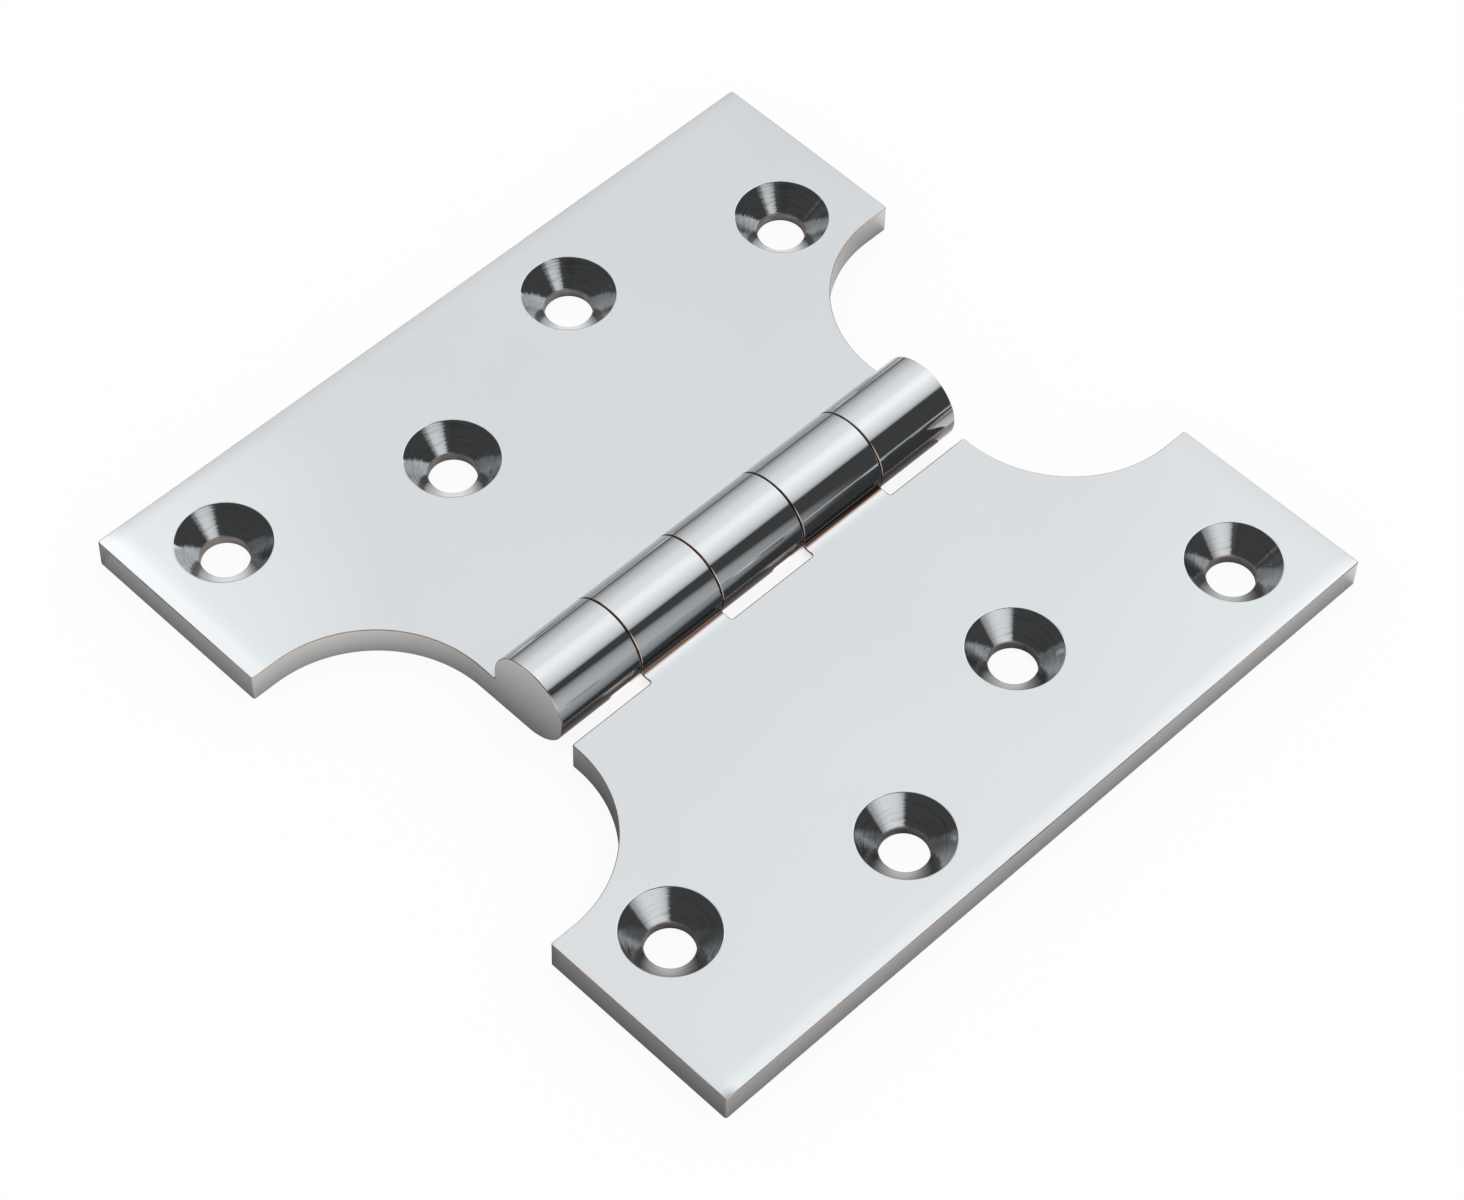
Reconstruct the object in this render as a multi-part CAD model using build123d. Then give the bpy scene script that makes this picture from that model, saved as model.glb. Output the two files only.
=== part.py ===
from build123d import *
from math import radians, tan
import os

# Parliament hinge, opened flat, lying on the back faces of its leaves.
# Origin: on the pin's axis, half way along the barrel.
# +X across the door leaf, +Y along the pin, +Z away from the back faces.
# All lengths are in millimetres.

# Leaves
LEAF_LENGTH = 102.0
OPEN_WIDTH = 102.0
LEAF_THICKNESS = 4.0
CUTOUT_RADIUS = 16.2
CUTOUT_SHOULDER = 0.8
EDGE_CHAMFER = 0.25

# Barrel
BARREL_DIAMETER = 11.0
BARREL_LENGTH = 63.0
CENTRE_KNUCKLE_LENGTH = 12.75
DOOR_KNUCKLE_LENGTH = 12.55
SEAM_GAP = 0.25
SEAM_CHAMFER = 0.15
SLOT_CLEARANCE = 1.7
ROOT_FILLET = 0.4

# Pin and the plugs that close the bore over it
PIN_DIAMETER = 6.0
PIN_RUNNING_CLEARANCE = 0.05
PIN_CHAMFER = 0.5
PLUG_THICKNESS = 1.5
PLUG_CHAMFER = 0.3

# Countersunk screw holes, staggered in two rows
SCREW_HOLE_DIAMETER = 5.8
COUNTERSINK_DIAMETER = 11.5
COUNTERSINK_ANGLE = 90.0
RIM_CHAMFER = 0.1
HOLES_PER_LEAF = 4
HOLE_PITCH = 27.1
OUTER_ROW_INSET = 10.0
ROW_SPACING = 9.0

# Worked out from the sizes above
BARREL_RADIUS = BARREL_DIAMETER / 2
BACK_Z = -BARREL_RADIUS
FRONT_Z = BACK_Z + LEAF_THICKNESS
HALF_WIDTH = OPEN_WIDTH / 2
SLOT_REACH = BARREL_RADIUS + SLOT_CLEARANCE
CUTOUT_REACH = SLOT_REACH + CUTOUT_SHOULDER + CUTOUT_RADIUS
ROOT_REACH = BARREL_RADIUS + ROOT_FILLET
BARREL_END = BARREL_LENGTH / 2
CENTRE_KNUCKLE_END = CENTRE_KNUCKLE_LENGTH / 2
DOOR_KNUCKLE_START = CENTRE_KNUCKLE_END + SEAM_GAP
DOOR_KNUCKLE_END = DOOR_KNUCKLE_START + DOOR_KNUCKLE_LENGTH
END_KNUCKLE_START = DOOR_KNUCKLE_END + SEAM_GAP
TOLERANCE = 0.001


def leaf_section():
    """The extruded section of a leaf: barrel round, root blend and flat plate, all one piece."""
    barrel = Circle(BARREL_RADIUS)
    plate = Pos(HALF_WIDTH / 2, (BACK_Z + FRONT_Z) / 2) * Rectangle(HALF_WIDTH, LEAF_THICKNESS)
    outline = make_face((barrel + plate).face().outer_wire())
    root = outline.vertices().group_by(Axis.Y)[-1].sort_by(Axis.X)[0]
    return fillet(root, ROOT_FILLET)


def end_cutout():
    """What is milled away past the barrel's +Y end: a wide notch with rounded inner corners."""
    depth = LEAF_LENGTH / 2 - BARREL_END + CUTOUT_RADIUS
    notch = Pos(0, BARREL_END + depth / 2) * Rectangle(2 * CUTOUT_REACH, depth)
    notch = fillet(notch.vertices().group_by(Axis.Y)[0], CUTOUT_RADIUS)
    return extrude(notch, BARREL_DIAMETER, both=True)


def knuckle_slot(start_y, end_y):
    """The room that a leaf leaves between two heights for a knuckle of the other leaf."""
    width = BARREL_DIAMETER + SLOT_REACH
    centre = Pos(SLOT_REACH - width / 2, (start_y + end_y) / 2, 0)
    return centre * Box(width, end_y - start_y, 2 * BARREL_DIAMETER)


def leaf_blank(slots):
    """A leaf on the +X side, cut to its outline and slotted, with square edges and no holes."""
    blank = extrude(Plane.XZ * leaf_section(), LEAF_LENGTH / 2, both=True)
    blank -= end_cutout()
    blank -= mirror(end_cutout(), Plane.XZ)
    for start_y, end_y in slots:
        blank -= knuckle_slot(start_y, end_y)
    return blank


def edges_at(leaf, plane, axis, height):
    """The edges of a leaf that lie parallel to a plane, at a height along the axis across it."""
    parallel = leaf.edges().filter_by(plane)
    return parallel.filter_by_position(axis, height - TOLERANCE, height + TOLERANCE)


def knuckle_rim(leaf, y, reach):
    """The edges round a knuckle's end face, out to a reach from the pin's axis."""
    return edges_at(leaf, Plane.XZ, Axis.Y, y).filter_by(lambda edge: edge.center().X < reach)


def outline_edges(leaf, seams):
    """The edges round both flat faces, past the root blend, and round the barrel's ends."""
    flat = edges_at(leaf, Plane.XY, Axis.Z, FRONT_Z) + edges_at(leaf, Plane.XY, Axis.Z, BACK_Z)
    edges = flat.filter_by(lambda edge: edge.center().X > ROOT_REACH)
    for y in seams:
        edges -= edges_at(leaf, Plane.XZ, Axis.Y, y)
    for y in (-BARREL_END, BARREL_END):
        edges += knuckle_rim(leaf, y, ROOT_REACH)
    return edges


def bore(diameter):
    """The hole for the pin along the whole barrel."""
    return Rot(90, 0, 0) * Cylinder(diameter / 2, LEAF_LENGTH)


def screw_hole():
    """The cutter of one countersunk hole: shank, cone and broken rim, turned about Z."""
    shank = SCREW_HOLE_DIAMETER / 2
    rim = COUNTERSINK_DIAMETER / 2
    slope = tan(radians(COUNTERSINK_ANGLE / 2))
    profile = Polyline(
        (0, -2 * LEAF_THICKNESS),
        (shank, -2 * LEAF_THICKNESS),
        (shank, -(rim - shank) / slope),
        (rim - RIM_CHAMFER * slope, -RIM_CHAMFER),
        (rim + RIM_CHAMFER, 0),
        (rim + RIM_CHAMFER, LEAF_THICKNESS),
        (0, LEAF_THICKNESS),
        close=True,
    )
    return Pos(0, 0, FRONT_Z) * revolve(Plane.XZ * make_face(profile), Axis.Z)


def screw_hole_places():
    """The centres of a leaf's holes, from its +Y end down: the outer row and the inner in turn."""
    outer_x = HALF_WIDTH - OUTER_ROW_INSET
    top_y = HOLE_PITCH * (HOLES_PER_LEAF - 1) / 2
    return [
        Pos(outer_x - ROW_SPACING * (index % 2), top_y - HOLE_PITCH * index)
        for index in range(HOLES_PER_LEAF)
    ]


def finished_leaf(slots, seams, bore_diameter):
    """A leaf on the +X side: slotted, its edges broken, bored for the pin and drilled."""
    leaf = leaf_blank(slots)
    leaf = chamfer(outline_edges(leaf, seams), EDGE_CHAMFER)
    for y in seams:
        leaf = chamfer(knuckle_rim(leaf, y, SLOT_REACH - TOLERANCE), SEAM_CHAMFER)
    leaf -= bore(bore_diameter)
    for place in screw_hole_places():
        leaf -= place * screw_hole()
    return leaf


def door_leaf():
    """The two-knuckle leaf, which turns on the pin."""
    seams = (-DOOR_KNUCKLE_END, -DOOR_KNUCKLE_START, DOOR_KNUCKLE_START, DOOR_KNUCKLE_END)
    slots = (
        (-LEAF_LENGTH / 2, -DOOR_KNUCKLE_END),
        (-DOOR_KNUCKLE_START, DOOR_KNUCKLE_START),
        (DOOR_KNUCKLE_END, LEAF_LENGTH / 2),
    )
    return finished_leaf(slots, seams, PIN_DIAMETER + 2 * PIN_RUNNING_CLEARANCE)


def frame_leaf():
    """The three-knuckle leaf, which holds the pin fast. It is the other way round to the door's."""
    seams = (-END_KNUCKLE_START, -CENTRE_KNUCKLE_END, CENTRE_KNUCKLE_END, END_KNUCKLE_START)
    slots = ((-END_KNUCKLE_START, -CENTRE_KNUCKLE_END), (CENTRE_KNUCKLE_END, END_KNUCKLE_START))
    return Rot(0, 0, 180) * finished_leaf(slots, seams, PIN_DIAMETER)


def hinge_pin():
    """The plain pin through all five knuckles, short of the barrel's ends by the plugs."""
    pin = Rot(90, 0, 0) * Cylinder(PIN_DIAMETER / 2, BARREL_LENGTH - 2 * PLUG_THICKNESS)
    return chamfer(pin.edges().filter_by(GeomType.CIRCLE), PIN_CHAMFER)


def end_plug():
    """The plug in the barrel's +Y end, its outer face flush with the knuckle round it."""
    plug = Rot(90, 0, 0) * Cylinder(PIN_DIAMETER / 2, PLUG_THICKNESS)
    inner_rim = plug.edges().filter_by(GeomType.CIRCLE).sort_by(Axis.Y)[0]
    plug = chamfer(inner_rim, PLUG_CHAMFER)
    return Pos(0, BARREL_END - PLUG_THICKNESS / 2, 0) * plug


def main():
    """Build every piece in its place and write each to its own file."""
    os.makedirs("parts", exist_ok=True)
    pieces = {
        "frame_leaf": frame_leaf(),
        "door_leaf": door_leaf(),
        "hinge_pin": hinge_pin(),
        "top_end_plug": end_plug(),
        "bottom_end_plug": mirror(end_plug(), Plane.XZ),
    }
    for name, piece in pieces.items():
        export_step(piece, f"parts/{name}.step")


main()
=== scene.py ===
"""A chromed parliament hinge, lying open on a pale studio floor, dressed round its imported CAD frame."""

import logging
import math
from dataclasses import dataclass
from enum import Enum
from functools import partial, reduce
from typing import NamedTuple

import bmesh
import bpy
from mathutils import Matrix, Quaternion, Vector

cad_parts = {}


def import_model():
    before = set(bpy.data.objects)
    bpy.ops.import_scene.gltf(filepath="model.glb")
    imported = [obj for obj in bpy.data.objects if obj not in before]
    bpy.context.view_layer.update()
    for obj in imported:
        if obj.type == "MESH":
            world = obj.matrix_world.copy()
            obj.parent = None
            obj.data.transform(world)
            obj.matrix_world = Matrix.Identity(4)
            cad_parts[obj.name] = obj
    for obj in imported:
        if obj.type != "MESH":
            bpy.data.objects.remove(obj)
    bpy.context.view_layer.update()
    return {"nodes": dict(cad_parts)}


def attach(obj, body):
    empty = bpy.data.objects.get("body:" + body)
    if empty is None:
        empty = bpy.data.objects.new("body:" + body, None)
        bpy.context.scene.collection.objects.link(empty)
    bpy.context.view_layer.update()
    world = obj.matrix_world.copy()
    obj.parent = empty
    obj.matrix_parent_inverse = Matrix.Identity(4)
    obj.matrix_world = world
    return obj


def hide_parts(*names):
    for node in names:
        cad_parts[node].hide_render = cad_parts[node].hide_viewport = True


LOG = logging.getLogger("hinge")
Socket = bpy.types.NodeSocket
Sockets = bpy.types.bpy_prop_collection
Tree = bpy.types.NodeTree
MM = 0.001
WELD = 1e-6
WHITE = (1, 1, 1, 1)
GRAIN = (5200.0, 5200.0, 5200.0)
CHORD_ANGLE = math.radians(1.8)
CHORD_RADIUS = 12.0
FEWEST_CHORDS = 6


class Part(Enum):
    """What a guide line or point of a leaf's sketch is for."""

    EDGE_PATH = 1
    FACE_LOOP = 2
    HOLE_CENTRE = 3
    KNUCKLE_PATH = 4
    CAP_LOOP = 5
    HOLE_PROFILE = 6


class Net:
    """The network of one node tree: adds nodes to it and joins their sockets."""

    def __init__(self, tree: Tree) -> None:
        """Keep the tree that the nodes go into."""
        self.tree = tree

    def feed(self, node: bpy.types.Node, inputs: dict) -> bpy.types.Node:
        """Set or join a node's inputs.

        Args:
            node: The node.
            inputs: Socket name or index to a plain value, an output socket or a list of them.

        Returns:
            The same node.
        """
        for key, value in inputs.items():
            for source in value if isinstance(value, list) else [value]:
                if isinstance(source, Socket):
                    self.tree.links.new(source, node.inputs[key])
                else:
                    node.inputs[key].default_value = source
        return node

    def add(self, kind: str, inputs: dict | None = None, **settings: object) -> bpy.types.Node:
        """Make one node.

        Args:
            kind: The node's type name.
            inputs: What goes into its sockets, in feed's form.
            settings: Node properties by name.

        Returns:
            The new node.
        """
        node = self.tree.nodes.new(kind)
        for name, value in settings.items():
            setattr(node, name, value)
        return self.feed(node, inputs or {})

    def out(self, kind: str, inputs: dict | None = None, **settings: object) -> Socket:
        """Make one node and give its first output."""
        return self.add(kind, inputs, **settings).outputs[0]

    def group(self, tree: Tree, inputs: dict) -> bpy.types.Node:
        """Place a node group and feed its inputs."""
        return self.add(self.tree.bl_idname.replace("Tree", "Group"), inputs, node_tree=tree)

    def maths(self, operation: str, *terms: object) -> Socket:
        """Work out one number from plain numbers or output sockets."""
        return self.out("ShaderNodeMath", dict(enumerate(terms)), operation=operation)

    def total(self, *terms: object) -> Socket:
        """Add two or more numbers."""
        return reduce(partial(self.maths, "ADD"), terms)

    def product(self, *terms: object) -> Socket:
        """Multiply two or more numbers."""
        return reduce(partial(self.maths, "MULTIPLY"), terms)

    def minus(self, whole: object, part: object) -> Socket:
        """Take one number from another."""
        return self.maths("SUBTRACT", whole, part)

    def ramp(self, value: Socket, start: float, end: float, low: float = 0.0, high: float = 1.0) -> Socket:
        """Map a value that runs from start to end onto low to high, and hold it there past both."""
        return self.out("ShaderNodeMapRange", {"Value": value, "From Min": start, "From Max": end,
                                               "To Min": low, "To Max": high})

    def vector(self, operation: str, *terms: object) -> Socket:
        """Work out a vector, or its length, from plain vectors or output sockets."""
        node = self.add("ShaderNodeVectorMath", dict(enumerate(terms)), operation=operation)
        return node.outputs["Value" if operation == "LENGTH" else "Vector"]

    def joined(self, x: object = 0.0, y: object = 0.0, z: object = 0.0) -> Socket:
        """Put a vector together."""
        return self.out("ShaderNodeCombineXYZ", {0: x, 1: y, 2: z})

    def parts(self, vector: Socket) -> Sockets:
        """Take a vector apart."""
        return self.add("ShaderNodeSeparateXYZ", {0: vector}).outputs

    def place(self) -> Socket:
        """Read where a point lies in its object."""
        return self.add("ShaderNodeTexCoord").outputs["Object"]

    def noise(self, spot: Socket, scale: float, detail: float, roughness: float = 0.5) -> Socket:
        """Read a noise at a place."""
        return self.out("ShaderNodeTexNoise", {"Vector": spot, "Scale": scale, "Detail": detail,
                                               "Roughness": roughness})

    def blend(self, share: Socket, first: object, second: object) -> Socket:
        """Mix two colours."""
        mixed = self.add("ShaderNodeMix", {"Factor": share, 6: first, 7: second}, data_type="RGBA")
        return mixed.outputs[2]


def new_tree(name: str, kind: str, inputs: list, outputs: list) -> tuple:
    """Make a node tree with named sockets.

    Args:
        name: The tree's name.
        kind: "Geometry" or "Shader".
        inputs: (name, socket type) for each input, and its default where it has one.
        outputs: (name, socket type) for each output.

    Returns:
        The tree's net, its input node's outputs by name, and its output node.
    """
    tree = bpy.data.node_groups.new(name, kind + "NodeTree")
    for label, socket_type, *default in inputs:
        socket = tree.interface.new_socket(label, in_out="INPUT", socket_type="NodeSocket" + socket_type)
        if default:
            socket.default_value = default[0]
    for label, socket_type in outputs:
        tree.interface.new_socket(label, in_out="OUTPUT", socket_type="NodeSocket" + socket_type)
    net = Net(tree)
    entry, leave = net.add("NodeGroupInput"), net.add("NodeGroupOutput")
    return net, entry.outputs, leave


def stored(net: Net, geometry: Socket, name: str, kind: str, value: Socket) -> Socket:
    """Keep a value on every point of a geometry under a name.

    Args:
        net: The tree's net.
        geometry: The geometry.
        name: The attribute's name.
        kind: "FLOAT" or "FLOAT_VECTOR".
        value: The value.

    Returns:
        The geometry with the attribute.
    """
    kept = net.add("GeometryNodeStoreNamedAttribute", {"Geometry": geometry, "Name": name},
                   data_type=kind, domain="POINT")
    net.tree.links.new(value, next(s for s in kept.inputs if s.name == "Value" and s.enabled))
    return kept.outputs[0]


def rounded_path(corners: list, support: float = 0.04) -> list:
    """Round the corners of a line of straight runs.

    Args:
        corners: (x, y, radius) in mm for each corner; the first and last are the line's ends.
        support: How far before and after each bend one more point lies on the straight.

    Returns:
        The line's (x, y) points.
    """
    points = [Vector(corners[0][:2])]
    for before, here, after in zip(corners, corners[1:], corners[2:]):
        corner, radius = Vector(here[:2]), here[2]
        towards = (Vector(before[:2]) - corner).normalized()
        away = (Vector(after[:2]) - corner).normalized()
        half = towards.angle(away) / 2
        reach = radius / math.tan(half)
        centre = corner + (towards + away).normalized() * radius / math.sin(half)
        start, end = corner + towards * reach, corner + away * reach
        first = math.atan2(*reversed(start - centre))
        sweep = math.remainder(math.atan2(*reversed(end - centre)) - first, math.tau)
        steps = max(FEWEST_CHORDS, math.ceil(abs(sweep) / CHORD_ANGLE * min(1.0, radius / CHORD_RADIUS)))
        points.append(start + towards * support)
        points += arc_points(centre, radius, first, sweep, steps)
        points.append(end + away * support)
    points.append(Vector(corners[-1][:2]))
    return points


def arc_points(centre: Vector, radius: float, first: float, sweep: float, steps: int) -> list:
    """Place steps + 1 points along an arc that starts at one angle in radians and sweeps another."""
    angles = [first + sweep * step / steps for step in range(steps + 1)]
    return [centre + radius * Vector((math.cos(angle), math.sin(angle))) for angle in angles]


def inset_path(points: list, inset: float) -> list:
    """Move each point of an open line to its left, across the middle of its bend.

    Args:
        points: The line's points.
        inset: How far they move.

    Returns:
        The moved points.
    """
    runs = [(b - a).normalized() for a, b in zip(points, points[1:])]
    moved = []
    for index, point in enumerate(points):
        run = (runs[max(index - 1, 0)] + runs[min(index, len(runs) - 1)]).normalized()
        moved.append(point + inset * Vector((-run.y, run.x)))
    return moved


class Sketch:
    """The guide lines and points that a leaf's node tree turns into metal."""

    def __init__(self, name: str) -> None:
        """Start an empty sketch of the piece with this name."""
        self.name, self.points, self.edges, self.parts = name, [], [], []

    def draw(self, part: Part, points: list, closed: bool = False, joined: bool = True) -> None:
        """Add a line, a loop or loose points.

        Args:
            part: What they are for.
            points: Their places in mm.
            closed: Whether the last point joins the first.
            joined: Whether each point joins the next.
        """
        first, count = len(self.points), len(points)
        self.points += [(point[0] * MM, point[1] * MM, 0.0) for point in points]
        self.parts += [part.value] * count
        if joined:
            self.edges += [(first + i, first + i + 1) for i in range(count - 1)]
        if closed:
            self.edges.append((first + count - 1, first))

    def as_object(self) -> bpy.types.Object:
        """Turn the sketch into an object that a modifier can read.

        Returns:
            An object of loose edges and points, each with its part number.
        """
        mesh = bpy.data.meshes.new(self.name)
        mesh.from_pydata(self.points, self.edges, [])
        mesh.attributes.new("part", "INT", "POINT").data.foreach_set("value", self.parts)
        return placed(self.name, mesh)


def placed(name: str, data: bpy.types.ID) -> bpy.types.Object:
    """Put an object in the scene.

    Args:
        name: Its name.
        data: Its mesh or camera.

    Returns:
        The object.
    """
    made = bpy.data.objects.new(name, data)
    bpy.context.scene.collection.objects.link(made)
    return made


@dataclass(frozen=True)
class EdgeTree:
    """Builds the node group for the section of a wall that is swept along a line."""

    steps: int = 4

    def rim_profile(self) -> Tree:
        """Build the group for a wall's section: upright, with both its ends rounded inwards.

        Returns:
            The node group.
        """
        net, given, leave = new_tree(
            "rounded_wall_section", "Geometry",
            [(label, "Float") for label in ("High", "Low", "Round", "Support")], [("Section", "Geometry")])
        last, half = 2 * self.steps + 5, self.steps + 2
        line = net.out("GeometryNodeMeshLine", {"Count": last + 1})
        curve = net.out("GeometryNodeMeshToCurve", {"Mesh": line})
        index = net.out("GeometryNodeInputIndex")
        step = net.minus(net.maths("MINIMUM", index, net.minus(float(last), index)), 1.0)
        share = net.out("ShaderNodeClamp", {0: net.maths("DIVIDE", step, float(self.steps))})
        angle = net.product(share, math.pi / 2)
        outer = net.maths("LESS_THAN", step, -0.5)
        inner = net.maths("GREATER_THAN", step, self.steps + 0.5)
        inset, drop = [net.total(net.product(given["Round"], net.minus(1.0, net.maths(wave, angle))),
                                 net.product(past, given["Support"]))
                       for wave, past in (("SINE", outer), ("COSINE", inner))]
        upper = net.maths("LESS_THAN", index, half + 0.5)
        high, low = net.minus(given["High"], drop), net.total(given["Low"], drop)
        height = net.total(low, net.product(upper, net.minus(high, low)))
        place = net.joined(net.product(inset, -1.0), net.product(height, -1.0))
        moved = net.out("GeometryNodeSetPosition", {"Geometry": curve, "Position": place})
        bent = net.product(net.maths("GREATER_THAN", step, 0.5),
                           net.maths("LESS_THAN", step, self.steps - 0.5))
        net.feed(leave, {"Section": stored(net, moved, "rounding", "FLOAT", bent)})
        return net.tree


@dataclass
class LeafTree:
    """Builds the node tree that turns one leaf's sketch into its finished mesh."""

    name: str
    spans: list
    section: Tree
    sizes: dict
    finishes: dict
    hole_steps: int = 96

    def build(self) -> Tree:
        """Build the whole tree.

        Returns:
            The tree, with a named input for each size and finish.
        """
        inputs = [("Sketch", "Geometry"), ("Hole Steps", "Int", self.hole_steps)]
        inputs += [(label, "Float", value) for label, value in self.sizes.items()]
        inputs += [(label, "Material", value) for label, value in self.finishes.items()]
        self.net, self.given, leave = new_tree(self.name, "Geometry", inputs, [("Leaf", "Geometry")])
        parts = [self.edge(), self.flat(True), self.flat(False), self.holes()]
        for start, end in self.spans:
            parts += [self.knuckle(start, end), self.bore_wall(start, end)]
        welded = self.net.out("GeometryNodeMergeByDistance", {"Geometry": self.gathered(parts), "Distance": WELD})
        turned = self.moved(welded, "Rotation", self.net.joined(z=self.given["Turn"]))
        real = self.net.out("GeometryNodeRealizeInstances", {"Geometry": turned})
        self.net.feed(leave, {"Leaf": real})
        return self.net.tree

    def gathered(self, pieces: list) -> Socket:
        """Put geometries together."""
        return self.net.out("GeometryNodeJoinGeometry", {0: pieces})

    def moved(self, mesh: Socket, motion: str, amount: object) -> Socket:
        """Move a geometry by a "Translation" or a "Rotation"."""
        return self.net.out("GeometryNodeTransform", {"Geometry": mesh, motion: amount})

    def filled(self, lines: list) -> Socket:
        """Fill what closed lines bound with triangles."""
        return self.net.out("GeometryNodeFillCurve", {0: self.gathered(lines)}, mode="TRIANGLES")

    def pick(self, part: Part, as_curve: bool = True) -> Socket:
        """Take one part's lines out of the sketch.

        Args:
            part: The part wanted.
            as_curve: Whether it comes as curves and not as points.

        Returns:
            The geometry.
        """
        number = self.net.out("GeometryNodeInputNamedAttribute", {"Name": "part"}, data_type="INT")
        same = self.net.out("FunctionNodeCompare", {2: number, 3: part.value}, data_type="INT", operation="EQUAL")
        found = self.net.out("GeometryNodeSeparateGeometry",
                             {"Geometry": self.given["Sketch"], "Selection": same})
        return self.net.out("GeometryNodeMeshToCurve", {0: found}) if as_curve else found

    def finished(self, mesh: Socket, finish: str) -> Socket:
        """Give a part the material of one of the tree's inputs."""
        return self.net.out("GeometryNodeSetMaterial", {"Geometry": mesh, "Material": self.given[finish]})

    def wall(self, path: Socket, high: object, low: object) -> Socket:
        """Sweep the rounded wall along a line, between two heights."""
        section = self.net.group(self.section, {"High": high, "Low": low, "Round": self.given["Edge Round"],
                                                "Support": self.given["Edge Support"]})
        return self.net.out("GeometryNodeCurveToMesh", {0: path, 1: section.outputs[0]})

    def edge(self) -> Socket:
        """Sweep the leaf's outer edge, its cut-outs and its slots."""
        swept = self.wall(self.pick(Part.EDGE_PATH), self.given["Front Height"], self.given["Back Height"])
        return self.finished(swept, "Edge Finish")

    def circle(self, radius: Socket) -> Socket:
        """Draw one circle round the origin."""
        return self.net.out("GeometryNodeCurvePrimitiveCircle",
                            {"Resolution": self.given["Hole Steps"], "Radius": radius})

    def on_holes(self, shape: Socket) -> Socket:
        """Repeat a shape at every screw hole and make the copies real."""
        centres = self.net.out("GeometryNodeMeshToPoints", {0: self.pick(Part.HOLE_CENTRE, as_curve=False)})
        spread = self.net.out("GeometryNodeInstanceOnPoints", {"Points": centres, "Instance": shape})
        return self.net.out("GeometryNodeRealizeInstances", {0: spread})

    def flat(self, front: bool) -> Socket:
        """Fill the leaf's front or back between its edge and its screw holes.

        Args:
            front: Whether it is the front.

        Returns:
            The face.
        """
        side, rim = ("Front", "Sink") if front else ("Back", "Shank")
        rims = self.on_holes(self.circle(self.given[rim + " Rim Radius"]))
        flat = self.filled([self.pick(Part.FACE_LOOP), rims])
        face = self.moved(flat, "Translation", self.net.joined(z=self.given[side + " Height"]))
        if not front:
            face = self.net.out("GeometryNodeFlipFaces", {0: face})
        return self.finished(face, side + " Finish")

    def holes(self) -> Socket:
        """Turn the countersunk hole from its profile and repeat it at every screw hole.

        Returns:
            The walls of all the leaf's holes.
        """
        turned = self.net.out("GeometryNodeCurveToMesh",
                              {0: self.circle(self.given["Shank Radius"]), 1: self.pick(Part.HOLE_PROFILE)})
        place = self.net.out("GeometryNodeInputPosition")
        kept = stored(self.net, turned, "from_hole_axis", "FLOAT_VECTOR", place)
        return self.finished(self.on_holes(kept), "Hole Finish")

    def stood_up(self, mesh: Socket) -> Socket:
        """Turn a part that was drawn flat so that its height runs along the pin."""
        return self.moved(mesh, "Rotation", (math.pi / 2, 0, 0))

    def knuckle(self, start: float, end: float) -> Socket:
        """Sweep one knuckle with its neck, and close its two ends round the bore.

        Args:
            start: The height along the pin where it starts, in metres.
            end: The height where it ends.

        Returns:
            The knuckle.
        """
        body = self.finished(self.wall(self.pick(Part.KNUCKLE_PATH), -start, -end), "Barrel Finish")
        filled = self.filled([self.pick(Part.CAP_LOOP), self.circle(self.given["Bore"])])
        near = self.moved(filled, "Translation", (0, 0, -start))
        far = self.moved(self.net.out("GeometryNodeFlipFaces", {0: filled}), "Translation", (0, 0, -end))
        return self.stood_up(self.gathered([body, self.finished(self.gathered([near, far]), "End Finish")]))

    def bore_wall(self, start: float, end: float) -> Socket:
        """Line one knuckle's bore.

        Args:
            start: The height along the pin where it starts, in metres.
            end: The height where it ends.

        Returns:
            The bore's wall.
        """
        line = self.net.out("GeometryNodeMeshLine", {"Count": 2, "Start Location": (0, end, 0),
                                                     "Offset": (0, start - end, 0)})
        curve = self.net.out("GeometryNodeMeshToCurve", {0: line})
        swept = self.net.out("GeometryNodeCurveToMesh", {0: self.circle(self.given["Bore"]), 1: curve})
        return self.stood_up(self.finished(swept, "End Finish"))


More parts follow.
